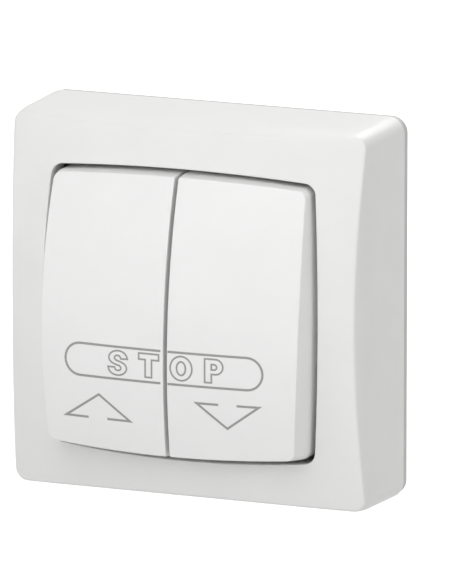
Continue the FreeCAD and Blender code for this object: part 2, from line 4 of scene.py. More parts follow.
import bmesh
import bpy
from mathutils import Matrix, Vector


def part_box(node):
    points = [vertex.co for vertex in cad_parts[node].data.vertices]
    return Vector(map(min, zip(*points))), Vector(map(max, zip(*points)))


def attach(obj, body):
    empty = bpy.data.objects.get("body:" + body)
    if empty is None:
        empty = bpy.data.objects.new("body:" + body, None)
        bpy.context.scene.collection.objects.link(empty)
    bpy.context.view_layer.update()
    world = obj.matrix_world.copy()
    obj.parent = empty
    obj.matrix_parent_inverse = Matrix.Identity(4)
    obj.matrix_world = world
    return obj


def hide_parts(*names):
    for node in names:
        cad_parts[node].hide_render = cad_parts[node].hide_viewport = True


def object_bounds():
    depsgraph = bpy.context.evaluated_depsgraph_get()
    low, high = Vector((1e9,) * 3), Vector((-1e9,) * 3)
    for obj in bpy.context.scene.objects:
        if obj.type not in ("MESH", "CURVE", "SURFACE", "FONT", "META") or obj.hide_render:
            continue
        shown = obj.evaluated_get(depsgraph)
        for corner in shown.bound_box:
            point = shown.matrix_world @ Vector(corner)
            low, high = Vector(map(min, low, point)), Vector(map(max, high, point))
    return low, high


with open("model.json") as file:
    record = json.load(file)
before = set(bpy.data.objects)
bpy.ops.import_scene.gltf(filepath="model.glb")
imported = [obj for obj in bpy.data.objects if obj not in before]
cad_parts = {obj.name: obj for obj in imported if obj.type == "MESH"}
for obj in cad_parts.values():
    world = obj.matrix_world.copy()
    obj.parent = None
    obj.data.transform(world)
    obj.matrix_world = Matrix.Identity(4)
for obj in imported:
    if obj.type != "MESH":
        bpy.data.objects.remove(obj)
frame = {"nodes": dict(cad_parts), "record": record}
cad_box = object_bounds()

# Surface-mounted roller shutter switch: smooth mouldings in place of the faceted housing and keys, the
# keys' print, and a finish for every piece. Outlines are in millimetres. A depth q is measured out from
# the wall, so it lies at Y = -q, and points become metres where a mesh is made. A draft is how far a
# wall leans in for each millimetre of depth.
MM = 0.001

# Housing
half_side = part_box("housing")[1].x / MM
plate_front = -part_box("housing")[1].y / MM
housing_corner = 3.4
housing_wall = 2.0
front_wall = 2.2
wall_draft = 0.028
shoulder_start = 15.0
shoulder_radius = 28.0
dome_depth = 26.80
dome_radius = 192.4
front_round = 0.42
back_round = 0.20
opening_round = 0.28
half_opening = 27.62
opening_bulge = 1.33
opening_corner = 2.5
skirt_wall = 1.4
skirt_end = 17.0
skirt_round = 0.25

# Keys
pivot_depth = 20.0
key_tilt = 4.5
key_outer = 26.67
key_corner = 1.8
key_split = 0.8
split_corner = 0.35
key_wall = 1.6
key_inner_corner = 0.3
face_wall = 1.8
draft_start = 23.0
draft = 0.13
crest_depth = 31.99
crest_level = -8.69
crown_radius_up = 113.6
crown_radius_across = 189.5
key_round = 0.24
skirt_drop = 2.0
skirt_edge_round = 0.2
rib_level = 6.0
rib_thickness = 1.2
rib_half_width = 5.5
rocker_top = 24.4
rocker_bottom = 22.0
leg_inner = 12.15
leg_thickness = 1.3
leg_half_width = 4.5
leg_nose = 0.8
leg_nose_height = 1.0
clip_clearance = 0.15
search_margin = 1.0

# Print: how far it stands out of the keys and reaches into them, its line widths and its places
print_lift = 0.015
print_sink = 0.05
pill_line = 0.46
arrow_line = 0.45
letter_line = 0.35
pill_level = -8.90
pill_half_height = 3.20
pill_left = -21.50
pill_right = 20.13
split_margin_left = 0.9
split_margin_right = 0.6
cap_top = -6.48
cap_bottom = -11.16
s_centre_x = -10.03
s_centre_z = -8.88
s_half = [
    (2.09, 0.90), (1.93, 1.42), (1.50, 1.98), (0.80, 2.33), (-0.15, 2.43), (-1.10, 2.15),
    (-1.72, 1.58), (-1.90, 0.92), (-1.64, 0.33), (-1.02, -0.10), (-0.25, -0.36), (0.38, -0.55),
    (0.68, -0.92), (0.53, -1.33), (0.08, -1.50), (-0.42, -1.36), (-0.70, -0.85),
]
o_centre_x = 3.45
o_half_width = 2.27
o_half_height = 2.40
o_inner_half_width = 0.93
o_inner_half_height = 1.34

# Steps along the outlines and profiles
SIDE_STEPS = 30
CORNER_STEPS = 12
ROUND_STEPS = 6
ACROSS_STEPS = 18
UP_STEPS = 34
SMALL_STEPS = 6
WALL_STEPS = 5
BEND_STEPS = 10
DOME_STEPS = 12
MOUTH_STEPS = 6
SKIRT_STEPS = 4
ROOF_STEPS = 5
INNER_BEND_STEPS = 4
INNER_WALL_STEPS = 3
KEY_INSIDE_STEPS = 5
KEY_SKIRT_STEPS = 4
KEY_FLANK_STEPS = 5
O_OUTER_STEPS = 48
O_INNER_STEPS = 36
SOLVE_HALVINGS = 45


def solve(miss, low, high):
    """The value between low and high where a rising function passes zero."""
    for _ in range(SOLVE_HALVINGS):
        middle = (low + high) / 2
        low, high = (low, middle) if miss(middle) > 0 else (middle, high)
    return (low + high) / 2


def spread(start, end, steps):
    """Evenly spaced values from start to end, without the start."""
    return [start + (end - start) * i / steps for i in range(1, steps + 1)]


def rounding(start, corner, end):
    """Points of a smooth bend from start to end that leaves and arrives along the lines to the corner."""
    points = []
    for t in spread(0.0, 1.0, ROUND_STEPS):
        points.append(start * (1 - t) ** 2 + corner * (2 * t * (1 - t)) + end * t ** 2)
    return points


def place(x, q, z):
    return Vector((x, -q, z))


def arc_stations(centre_x, centre_z, radius, start, end, steps):
    """Stations on an arc without its end: a point and its outward normal, both in the wall's plane."""
    stations = []
    for i in range(steps):
        angle = math.radians(start + (end - start) * i / steps)
        normal = Vector((math.cos(angle), 0, math.sin(angle)))
        stations.append((Vector((centre_x, 0, centre_z)) + normal * radius, normal))
    return stations


def barrel(half, bulge, corner):
    """A bulging square's side radius, that centre's setback, the corner's centre and its lean in degrees."""
    side_radius = (half ** 2 + bulge ** 2) / (2 * bulge)
    setback = side_radius - half - bulge
    centre = (math.sqrt(2 * (side_radius - corner) ** 2 - setback ** 2) - setback) / 2
    return side_radius, setback, centre, math.degrees(math.atan2(centre, centre + setback))


def quarter_turns(stations):
    """The stations of one side and corner, repeated for all four."""
    loop = []
    for turn in range(4):
        for point, normal in stations:
            for _ in range(turn):
                point = Vector((-point.z, 0, point.x))
                normal = Vector((-normal.z, 0, normal.x))
            loop.append((point, normal))
    return loop


def square_loop():
    centre = half_side - housing_corner
    side = [(Vector((half_side, 0, -centre + 2 * centre * i / SIDE_STEPS)), Vector((1, 0, 0)))
            for i in range(SIDE_STEPS)]
    return quarter_turns(side + arc_stations(centre, centre, housing_corner, 0, 90, CORNER_STEPS))


def opening_loop():
    side_radius, setback, centre, lean = barrel(half_opening, opening_bulge, opening_corner)
    side = arc_stations(-setback, 0, side_radius, -lean, lean, SIDE_STEPS)
    return quarter_turns(side + arc_stations(centre, centre, opening_corner, lean, 90 - lean, CORNER_STEPS))


def dome(point, sunk=0.0):
    """Depth of the domed front at this place, or of the face a wall's thickness below it."""
    return dome_depth - dome_radius + math.sqrt((dome_radius - sunk) ** 2 - point.x ** 2 - point.z ** 2)


def shoulder(q):
    """How far the housing's wall has bent inwards at this depth."""
    rise = max(0.0, q - shoulder_start)
    return shoulder_radius - math.sqrt(shoulder_radius ** 2 - rise ** 2)


def at_depth(point, q):
    return Vector((point.x, -q, point.z))


def housing_profile(outer, outer_normal, opening, opening_normal):
    """One section through the moulding: back edge, wall, front, guide skirt and then the inside."""

    def wall(q):
        return at_depth(outer - outer_normal * (shoulder(q) + wall_draft * (q - plate_front)), q)

    def inner_wall(q):
        return at_depth(outer - outer_normal * (shoulder(q) + housing_wall), q)

    def skirt(q, offset=0.0):
        return at_depth(opening + opening_normal * offset, q)

    edge = solve(lambda q: q - dome(wall(q)), shoulder_start, dome_depth)
    back = wall(plate_front)
    points = rounding(back - outer_normal * back_round, back, wall(plate_front + back_round))
    points += [wall(q) for q in spread(plate_front + back_round, shoulder_start, WALL_STEPS)]
    bend_start = edge - front_round
    bend_depths = spread(shoulder_start, bend_start - front_round, BEND_STEPS) + [bend_start]
    points += [wall(q) for q in bend_depths]
    inset = wall(edge) - outer_normal * front_round
    points += rounding(wall(bend_start), wall(edge), at_depth(inset, dome(inset)))
    rim = skirt(0) + opening_normal * opening_round
    near = inset - outer_normal * front_round
    far = rim + opening_normal * opening_round
    for t in [0.0] + spread(0.0, 1.0, DOME_STEPS):
        middle = near.lerp(far, t)
        points.append(at_depth(middle, dome(middle)))
    mouth = dome(opening)
    points.append(at_depth(rim, dome(rim)))
    points += rounding(points[-1], skirt(mouth), skirt(mouth - opening_round))
    mouth_depths = spread(mouth - opening_round, skirt_end + skirt_round, MOUTH_STEPS)
    points += [skirt(q) for q in mouth_depths]
    points += rounding(skirt(skirt_end + skirt_round), skirt(skirt_end), skirt(skirt_end, skirt_round))
    points += rounding(skirt(skirt_end, skirt_wall - skirt_round), skirt(skirt_end, skirt_wall),
                       skirt(skirt_end + skirt_round, skirt_wall))
    outside = skirt(0, skirt_wall)
    skirt_depths = spread(skirt_end + skirt_round, dome(outside, front_wall), SKIRT_STEPS)
    points += [at_depth(outside, q) for q in skirt_depths]
    inner_edge = solve(lambda q: q - dome(inner_wall(q), front_wall), shoulder_start, dome_depth)
    corner = inner_wall(inner_edge)
    for t in spread(0.0, 1.0, ROOF_STEPS):
        middle = outside.lerp(corner, t)
        points.append(at_depth(middle, dome(middle, front_wall)))
    points += [inner_wall(q) for q in spread(inner_edge, shoulder_start, INNER_BEND_STEPS)]
    points += [inner_wall(q) for q in spread(shoulder_start, plate_front, INNER_WALL_STEPS)]
    return points


def new_object(name, points, faces, material=None):
    """A mesh object from points in millimetres, with its faces turned outwards."""
    mesh = bpy.data.meshes.new(name)
    mesh.from_pydata([p * MM for p in points], [], faces)
    work = bmesh.new()
    work.from_mesh(mesh)
    bmesh.ops.recalc_face_normals(work, faces=work.faces)
    work.to_mesh(mesh)
    work.free()
    piece = bpy.data.objects.new(name, mesh)
    bpy.context.scene.collection.objects.link(piece)
    if material:
        mesh.materials.append(material)
    return piece


def smooth(piece, sharp_over=32.0):
    piece.data.shade_smooth()
    piece.data.set_sharp_from_angle(angle=math.radians(sharp_over))


def strip_faces(columns, rows, closed_rows):
    """Quads between neighbouring profiles of one length; the profiles form a closed loop."""
    faces = []
    for i in range(columns):
        nxt = (i + 1) % columns
        for j in range(rows if closed_rows else rows - 1):
            up = (j + 1) % rows
            faces.append((i * rows + j, nxt * rows + j, nxt * rows + up, i * rows + up))
    return faces


def prism(name, outline, x_from, x_to):
    """A closed solid from an outline of (q, z) points, extruded along X."""
    count = len(outline)
    points = [place(x, q, z) for x in (x_from, x_to) for q, z in outline]
    faces = [tuple(range(count)), tuple(range(count, 2 * count))]
    faces += [(i, (i + 1) % count, count + (i + 1) % count, count + i) for i in range(count)]
    return new_object(name, points, faces)


def united(body, additions):
    """Joins the additions to the body as one closed mesh, and deletes them."""
    for addition in additions:
        join = body.modifiers.new("union", "BOOLEAN")
        join.operation = "UNION"
        join.solver = "EXACT"
        join.object = addition
    bpy.context.view_layer.update()
    whole = bpy.data.meshes.new_from_object(body.evaluated_get(bpy.context.evaluated_depsgraph_get()))
    body.modifiers.clear()
    body.data = whole
    for addition in additions:
        bpy.data.objects.remove(addition)


# The housing's snap catches
catch_offset = 20.0
catch_half_width = 4.5
catch_top = 6.8
catch_height = 1.6
catch_ramp = 0.9
catch_lip = 33.9
catch_sink = 1.0


def snap_catches():
    wall = half_side - housing_wall + catch_sink
    low = catch_top - catch_height
    made = []
    for x in (-catch_offset, catch_offset):
        for sign in (-1, 1):
            outline = [(catch_top, sign * catch_lip), (catch_top, sign * wall),
                       (low - catch_ramp, sign * wall), (low, sign * catch_lip)]
            made.append(prism("catch", outline, x - catch_half_width, x + catch_half_width))
    return made


def make_housing(material):
    profiles = []
    for (outer, outer_normal), (opening, opening_normal) in zip(square_loop(), opening_loop()):
        profiles.append(housing_profile(outer, outer_normal, opening, opening_normal))
    points = [p for profile in profiles for p in profile]
    faces = strip_faces(len(profiles), len(profiles[0]), True)
    shell = new_object("housing_shell", points, faces, material)
    united(shell, snap_catches())
    smooth(shell)
    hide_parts("housing")
    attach(shell, "base")


def crown(x, z, sunk=0.0):
    """Depth of the keys' common crowned front, or of the face a wall's thickness below it."""
    up = math.sqrt((crown_radius_up - sunk) ** 2 - (z - crest_level) ** 2) - crown_radius_up
    across = math.sqrt(crown_radius_across ** 2 - x ** 2) - crown_radius_across
    return crest_depth + up + across


def key_loop(inset):
    """Stations round the right key: a point, its outward normal and the way its draft draws it in."""
    corner = max(key_corner - inset, key_inner_corner)
    side_radius, setback, centre, lean = barrel(key_outer - inset, opening_bulge, corner)
    small = max(split_corner - inset, key_inner_corner)
    near = key_split / 2 + inset
    start = math.degrees(math.asin((near + small) / side_radius))
    top = math.sqrt(side_radius ** 2 - (near + small) ** 2) - setback - small
    half = SMALL_STEPS // 2
    turn = CORNER_STEPS // 2
    low_mid = 225 + start / 2
    split_steps = UP_STEPS + 2 * turn - 2 * half
    loop = arc_stations(near + small, -top, small, low_mid, 270 + start, half)
    loop += arc_stations(0, setback, side_radius, 270 + start, 270 + lean, ACROSS_STEPS)
    loop += arc_stations(centre, -centre, corner, 270 + lean, 360 - lean, CORNER_STEPS)
    loop += arc_stations(-setback, 0, side_radius, -lean, lean, UP_STEPS)
    loop += arc_stations(centre, centre, corner, lean, 90 - lean, CORNER_STEPS)
    loop += arc_stations(0, -setback, side_radius, 90 - lean, 90 - start, ACROSS_STEPS)
    loop += arc_stations(near + small, top, small, 90 - start, 180, SMALL_STEPS)
    for i in range(split_steps):
        loop.append((Vector((near, 0, top - 2 * top * i / split_steps)), Vector((-1, 0, 0))))
    loop += arc_stations(near + small, -top, small, 180, low_mid, half)
    drawn = []
    for point, normal in loop:
        way = Vector((-(point.x - near) / (key_outer - near), 0, -point.z / key_outer))
        drawn.append((point, normal, way))
    return drawn


def drawn_in(point, way, q):
    """The place on a key's flank at this depth, drawn in by the draft."""
    return at_depth(point + way * (draft * max(0.0, q - draft_start)), q)


def skirt_depth(z):
    """Depth of the edge of the key's skirt, which leans with the key's tilt at rest."""
    tilt = math.radians(key_tilt)
    return pivot_depth - skirt_drop / math.cos(tilt) - z * math.tan(tilt)


def key_profile(outer, outer_normal, outer_way, inner, inner_way):
    """One section through a key cap: from inside its face, round the skirt's edge, to its crowned front."""
    roof = solve(lambda q: q - crown(*drawn_in(inner, inner_way, q).xz, face_wall), draft_start, crest_depth)
    low = skirt_depth(inner.z)
    points = [drawn_in(inner, inner_way, roof)]
    points += [drawn_in(inner, inner_way, q) for q in spread(roof, low, KEY_INSIDE_STEPS)]
    low = skirt_depth(outer.z)
    points += rounding(at_depth(outer - outer_normal * skirt_edge_round, low), at_depth(outer, low),
                       at_depth(outer, low + skirt_edge_round))
    points += [at_depth(outer, q) for q in spread(low + skirt_edge_round, draft_start, KEY_SKIRT_STEPS)]
    edge = solve(lambda q: q - crown(*drawn_in(outer, outer_way, q).xz), draft_start, crest_depth)
    bend_start = edge - key_round
    depths = spread(draft_start, bend_start - key_round, KEY_FLANK_STEPS) + [bend_start]
    points += [drawn_in(outer, outer_way, q) for q in depths]
    rim = drawn_in(outer, outer_way, edge)
    inset = rim - outer_normal * key_round
    points += rounding(points[-1], rim, at_depth(inset, crown(*inset.xz)))
    return points


def patch(loop, across, up, surface):
    """A grid of points inside a closed loop, blended from its four sides and laid on a surface."""
    low = loop[:across + 1]
    right = loop[across:across + up + 1]
    top = loop[across + up:2 * across + up + 1][::-1]
    left = (loop[2 * across + up:] + loop[:1])[::-1]
    rows = []
    for j in range(1, up):
        v = j / up
        row = []
        for i in range(1, across):
            u = i / across
            point = low[i] * (1 - v) + top[i] * v + left[j] * (1 - u) + right[j] * u
            point -= (low[0] * (1 - u) + low[-1] * u) * (1 - v) + (top[0] * (1 - u) + top[-1] * u) * v
            row.append(at_depth(point, surface(point)))
        rows.append(row)
    return rows


def patch_faces(loop, first, across, up):
    """Quads of a patch whose inner points start at index first; loop holds its boundary's indices."""
    def index(i, j):
        if j == 0:
            return loop[i]
        if i == across:
            return loop[across + j]
        if j == up:
            return loop[2 * across + up - i]
        if i == 0:
            return loop[(2 * across + 2 * up - j) % len(loop)]
        return first + (j - 1) * (across - 1) + i - 1

    return [(index(i, j), index(i + 1, j), index(i + 1, j + 1), index(i, j + 1))
            for j in range(up) for i in range(across)]


def tilted(q, z):
    """Where a place of the key, given with the key level, lies at rest, as depth and height."""
    tilt = math.radians(key_tilt)
    rise = q - pivot_depth
    depth = pivot_depth + rise * math.cos(tilt) - z * math.sin(tilt)
    height = rise * math.sin(tilt) + z * math.cos(tilt)
    return depth, height


def key_insides(pole):
    """The ribs that sit on the rocker and the clip legs that hold it."""
    made = []

    def under_face(z):
        """A place of the level key at this z, in the middle of the face's wall."""
        def miss(q):
            depth, height = tilted(q, z)
            return depth - crown(pole, height, face_wall / 2)
        return solve(miss, rocker_top, crest_depth + search_margin), z

    def tilted_prism(name, outline, half_width):
        return prism(name, [tilted(q, z) for q, z in outline], pole - half_width, pole + half_width)

    for sign in (-1, 1):
        near = sign * rib_level - rib_thickness / 2
        far = near + rib_thickness
        outline = [(rocker_top, near), (rocker_top, far), under_face(far), under_face(near)]
        made.append(tilted_prism("rib", outline, rib_half_width))
        nose_top = rocker_bottom - clip_clearance
        nose_low = nose_top - leg_nose_height
        leg_outer = leg_inner + leg_thickness
        outline = [under_face(sign * leg_inner), (nose_top, sign * leg_inner),
                   (nose_top, sign * (leg_inner - leg_nose)), (nose_low, sign * leg_inner),
                   (nose_low, sign * leg_outer), under_face(sign * leg_outer)]
        made.append(tilted_prism("leg", outline, leg_half_width))
    return made


def make_key(side, material):
    sign = 1 if side == "right" else -1
    outer = key_loop(0.0)
    inner = key_loop(key_wall)
    profiles = []
    for (place_out, normal, way_out), (place_in, _, way_in) in zip(outer, inner):
        profiles.append(key_profile(place_out, normal, way_out, place_in, way_in))
    rows = len(profiles[0])
    across = ACROSS_STEPS + SMALL_STEPS // 2 + CORNER_STEPS // 2
    up = UP_STEPS + CORNER_STEPS
    points = [p for profile in profiles for p in profile]
    faces = strip_faces(len(profiles), rows, False)
    for end, sunk in ((rows - 1, 0.0), (0, face_wall)):
        inside = patch([profile[end] for profile in profiles], across, up, lambda p: crown(p.x, p.z, sunk))
        faces += patch_faces([i * rows + end for i in range(len(profiles))], len(points), across, up)
        points += [p for row in inside for p in row]
    points = [Vector((sign * p.x, p.y, p.z)) for p in points]
    cap = new_object(side + "_key_cap", points, faces, material)
    pole = sign * (key_split / 2 + key_outer) / 2
    united(cap, key_insides(pole))
    smooth(cap)
    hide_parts(side + "_key")
    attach(cap, side + "_key_body")


def band(points, width, closed):
    """Left and right edges of a line of some width, mitred at its corners."""
    count = len(points)
    edges = []
    for i, point in enumerate(points):
        before = points[i - 1] if closed or i else None
        after = points[(i + 1) % count] if closed or i < count - 1 else None
        normals = []
        for a, b in ((before, point), (point, after)):
            if a is not None and b is not None:
                way = (b - a).normalized()
                normals.append(Vector((-way.z, 0, way.x)))
        mitre = sum(normals, Vector()).normalized()
        reach = (width / 2) / mitre.dot(normals[0])
        edges.append((point + mitre * reach, point - mitre * reach))
    return edges


def divided(points, closed, step=0.8):
    """The line with points added so that it can follow the crown."""
    line = []
    count = len(points)
    for i in range(count if closed else count - 1):
        a, b = points[i], points[(i + 1) % count]
        parts = max(1, math.ceil((b - a).length / step))
        line += [a.lerp(b, k / parts) for k in range(parts)]
    return line if closed else line + [points[-1]]


def print_piece(name, side, lines, width, material):
    """Printed lines on a key's crown: each is a thin closed band sunk a little into the surface."""
    points = []
    faces = []
    for line, closed in lines:
        edges = band(divided([Vector((x, 0, z)) for x, z in line], closed), width, closed)
        first = len(points)
        for left, right in edges:
            corners = ((left, print_lift), (right, print_lift), (right, -print_sink), (left, -print_sink))
            for p, lift in corners:
                points.append(at_depth(p, crown(p.x, p.z) + lift))
        count = len(edges)
        for i in range(count if closed else count - 1):
            a = first + 4 * i
            b = first + 4 * ((i + 1) % count)
            faces += [(a + k, b + k, b + (k + 1) % 4, a + (k + 1) % 4) for k in range(4)]
        if not closed:
            last = first + 4 * (count - 1)
            faces += [tuple(first + k for k in range(4)), tuple(last + k for k in range(4))]
    piece = new_object(name, points, faces, material)
    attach(piece, side + "_key_body")


def arc(centre_x, centre_z, radius_x, radius_z, start, end, steps=14):
    """Points on an elliptic arc, both ends included."""
    points = []
    for i in range(steps + 1):
        angle = math.radians(start + (end - start) * i / steps)
        points.append((centre_x + radius_x * math.cos(angle), centre_z + radius_z * math.sin(angle)))
    return points


def curve_through(points, steps=5):
    """A smooth line (a Catmull-Rom spline) through the points, both ends included."""
    ghost = [points[0]] + points + [points[-1]]
    line = []
    for i in range(1, len(points)):
        p = [Vector(ghost[i + k]) for k in range(-1, 3)]
        for k in range(steps):
            t = k / steps
            v = (p[1] * 2 + (p[2] - p[0]) * t + (p[0] * 2 - p[1] * 5 + p[2] * 4 - p[3]) * t ** 2
                 + (p[1] * 3 - p[0] - p[2] * 3 + p[3]) * t ** 3) / 2
            line.append(tuple(v))
    return line + [points[-1]]


def letter_s():
    """The outline of an S, which looks the same upside down: half of it, then the same half turned."""
    half = curve_through(s_half)
    whole = half + [(-x, -z) for x, z in half]
    return [(s_centre_x + x, s_centre_z + z) for x, z in whole]


def letter_t(left, right, bar, stem_left, stem_right):
    under_bar = cap_top - bar
    return [(left, cap_top), (right, cap_top), (right, under_bar), (stem_right, under_bar),
            (stem_right, cap_bottom), (stem_left, cap_bottom), (stem_left, under_bar), (left, under_bar)]


def letter_p(left, stem, right, bowl, counter_right, counter_top, counter_low):
    bowl_middle = (cap_top + bowl) / 2
    bowl_reach = (cap_top - bowl) / 2
    outer = [(left, cap_top)] + arc(right - bowl_reach, bowl_middle, bowl_reach, bowl_reach, 90, -90)
    outer += [(stem, bowl), (stem, cap_bottom), (left, cap_bottom)]
    reach = (counter_top - counter_low) / 2
    counter = [(stem, counter_top)] + arc(counter_right - reach, counter_top - reach, reach, reach, 90, -90)
    return outer, counter + [(stem, counter_low)]


def arrow(left, right, half_gap, base, apex_x, apex):
    """A triangle whose base is open in its middle."""
    middle = (left + right) / 2
    return [(middle - half_gap, base), (left, base), (apex_x, apex), (right, base),
            (middle + half_gap, base)]


def make_print(ink):
    high = pill_level + pill_half_height
    low = pill_level - pill_half_height
    left_end = arc(pill_left + pill_half_height, pill_level, pill_half_height, pill_half_height, 90, 270)
    right_end = arc(pill_right - pill_half_height, pill_level, pill_half_height, pill_half_height, 90, -90)
    left_half = [(-split_margin_left, high)] + left_end + [(-split_margin_left, low)]
    right_half = [(split_margin_right, high)] + right_end + [(split_margin_right, low)]
    print_piece("stop_outline_left", "left", [(left_half, False)], pill_line, ink)
    print_piece("stop_outline_right", "right", [(right_half, False)], pill_line, ink)
    print_piece("letter_s", "left", [(letter_s(), True)], letter_line, ink)
    t_outline = letter_t(left=-5.50, right=-1.27, bar=1.20, stem_left=-4.12, stem_right=-2.76)
    print_piece("letter_t", "left", [(t_outline, True)], letter_line, ink)
    o_middle = (cap_top + cap_bottom) / 2
    outer = arc(o_centre_x, o_middle, o_half_width, o_half_height, 0, 360, O_OUTER_STEPS)[:-1]
    inner = arc(o_centre_x, o_middle, o_inner_half_width, o_inner_half_height, 0, 360, O_INNER_STEPS)[:-1]
    print_piece("letter_o", "right", [(outer, True), (inner, True)], letter_line, ink)
    outer, counter = letter_p(left=8.36, stem=9.74, right=12.10, bowl=-9.46, counter_right=10.83,
                              counter_top=-7.50, counter_low=-8.57)
    print_piece("letter_p", "right", [(outer, True), (counter, True)], letter_line, ink)
    up = arrow(left=-21.58, right=-7.66, half_gap=2.05, base=-20.42, apex_x=-14.24, apex=-15.60)
    print_piece("arrow_up", "left", [(up, False)], arrow_line, ink)
    down = arrow(left=6.60, right=19.31, half_gap=1.88, base=-15.45, apex_x=12.82, apex=-20.15)
    print_piece("arrow_down", "right", [(down, False)], arrow_line, ink)


# Finishes: noise scales are in cycles a metre
WHITE = (1, 1, 1, 1)
noise_low = 0.3
noise_high = 0.7
cloud_scale = 90.0
moulded_gloss_scale = 260.0
moulded_gloss_spread = 0.04
moulded_grain_detail = 2.0
metal_line_scale = 900.0
metal_line_detail = 4.0
metal_gloss_scale = 400.0
metal_gloss_spread = 0.08
ink_dark = (0.305, 0.305, 0.295)
ink_middle = (0.32, 0.32, 0.31)
ink_light = (0.335, 0.335, 0.325)
ink_scale = 1400.0
ink_roughness = 0.6
paper_dark = (0.65, 0.65, 0.65)
paper_middle = (0.66, 0.66, 0.66)
paper_light = (0.67, 0.67, 0.67)
paper_scale = 3.0
paper_roughness = 0.9


def new_material(name, color, roughness, metallic=0.0):
    """A material, its node tree, its shader and the coordinates of the object that carries it."""
    material = bpy.data.materials.new(name)
    material.use_nodes = True
    tree = material.node_tree
    shader = tree.nodes["Principled BSDF"]
    shader.inputs["Base Color"].default_value = (*color, 1)
    shader.inputs["Roughness"].default_value = roughness
    shader.inputs["Metallic"].default_value = metallic
    coords = tree.nodes.new("ShaderNodeTexCoord")
    return material, tree, shader, coords


def noise(tree, coords, scale, detail=3.0, stretch=(1, 1, 1)):
    """Noise in the object's coordinates."""
    mapping = tree.nodes.new("ShaderNodeMapping")
    mapping.inputs["Scale"].default_value = stretch
    texture = tree.nodes.new("ShaderNodeTexNoise")
    texture.inputs["Scale"].default_value = scale
    texture.inputs["Detail"].default_value = detail
    tree.links.new(coords.outputs["Object"], mapping.inputs["Vector"])
    tree.links.new(mapping.outputs["Vector"], texture.inputs["Vector"])
    return texture.outputs["Fac"]


def ranged(tree, value, low, high):
    """The noise's middle range, stretched to run from low to high."""
    ranging = tree.nodes.new("ShaderNodeMapRange")
    ranging.inputs["From Min"].default_value = noise_low
    ranging.inputs["From Max"].default_value = noise_high
    ranging.inputs["To Min"].default_value = low
    ranging.inputs["To Max"].default_value = high
    tree.links.new(value, ranging.inputs["Value"])
    return ranging.outputs["Result"]


def toned(tree, shader, value, dark, light):
    """Base colour that wanders between two near tones."""
    mix = tree.nodes.new("ShaderNodeMix")
    mix.data_type = "RGBA"
    mix.inputs["A"].default_value = (*dark, 1)
    mix.inputs["B"].default_value = (*light, 1)
    tree.links.new(ranged(tree, value, 0, 1), mix.inputs["Factor"])
    tree.links.new(mix.outputs["Result"], shader.inputs["Base Color"])


def bumped(tree, shader, value, height):
    bump = tree.nodes.new("ShaderNodeBump")
    bump.inputs["Strength"].default_value = 1.0
    bump.inputs["Distance"].default_value = height
    tree.links.new(value, bump.inputs["Height"])
    tree.links.new(bump.outputs["Normal"], shader.inputs["Normal"])


def moulded(name, dark, light, roughness, grain, grain_height):
    """Moulded plastic: a faint cloudiness of tone and gloss over a fine spark-eroded grain."""
    material, tree, shader, coords = new_material(name, light, roughness)
    toned(tree, shader, noise(tree, coords, cloud_scale), dark, light)
    gloss = ranged(tree, noise(tree, coords, moulded_gloss_scale),
                   roughness - moulded_gloss_spread, roughness + moulded_gloss_spread)
    tree.links.new(gloss, shader.inputs["Roughness"])
    bumped(tree, shader, noise(tree, coords, grain, moulded_grain_detail), grain_height)
    return material


def metal(name, dark, light, roughness, stretch, line_height):
    """Metal: a fine grain in tone and relief, which the stretch can draw out, and an uneven gloss."""
    material, tree, shader, coords = new_material(name, light, roughness, 1.0)
    lines = noise(tree, coords, metal_line_scale, metal_line_detail, stretch)
    toned(tree, shader, lines, dark, light)
    gloss = ranged(tree, noise(tree, coords, metal_gloss_scale),
                   roughness - metal_gloss_spread, roughness + metal_gloss_spread)
    tree.links.new(gloss, shader.inputs["Roughness"])
    bumped(tree, shader, lines, line_height)
    return material


def ink_material():
    """Matte grey pad print with a slightly uneven film."""
    material, tree, shader, coords = new_material("print_ink", ink_middle, ink_roughness)
    toned(tree, shader, noise(tree, coords, ink_scale), ink_dark, ink_light)
    return material


def light_panel(name, location, size, power, aim):
    lamp = bpy.data.lights.new(name, "AREA")
    lamp.shape = "RECTANGLE"
    lamp.size = size
    lamp.size_y = size
    lamp.energy = power
    holder = bpy.data.objects.new(name, lamp)
    holder.location = location
    holder.rotation_euler = (aim - Vector(location)).to_track_quat("-Z", "Y").to_euler()
    bpy.context.scene.collection.objects.link(holder)


def seen_ray(tree):
    """1 for what is seen directly, in glossy or through clear surfaces, and 0 for light on its way."""
    path = tree.nodes.new("ShaderNodeLightPath")
    seen = path.outputs["Is Camera Ray"]
    for ray in ("Is Glossy Ray", "Is Transmission Ray"):
        either = tree.nodes.new("ShaderNodeMath")
        either.operation = "MAXIMUM"
        tree.links.new(seen, either.inputs[0])
        tree.links.new(path.outputs[ray], either.inputs[1])
        seen = either.outputs["Value"]
    return seen


def white_sky(world, strength):
    """A world that lights at some strength and is seen as plain white."""
    tree = world.node_tree
    sky = tree.nodes["Background"]
    sky.inputs["Color"].default_value = WHITE
    sky.inputs["Strength"].default_value = strength
    white = tree.nodes.new("ShaderNodeBackground")
    white.inputs["Color"].default_value = WHITE
    white.inputs["Strength"].default_value = 1.0
    mix = tree.nodes.new("ShaderNodeMixShader")
    tree.links.new(seen_ray(tree), mix.inputs["Fac"])
    tree.links.new(sky.outputs["Background"], mix.inputs[1])
    tree.links.new(white.outputs["Background"], mix.inputs[2])
    tree.links.new(mix.outputs["Shader"], tree.nodes["World Output"].inputs["Surface"])


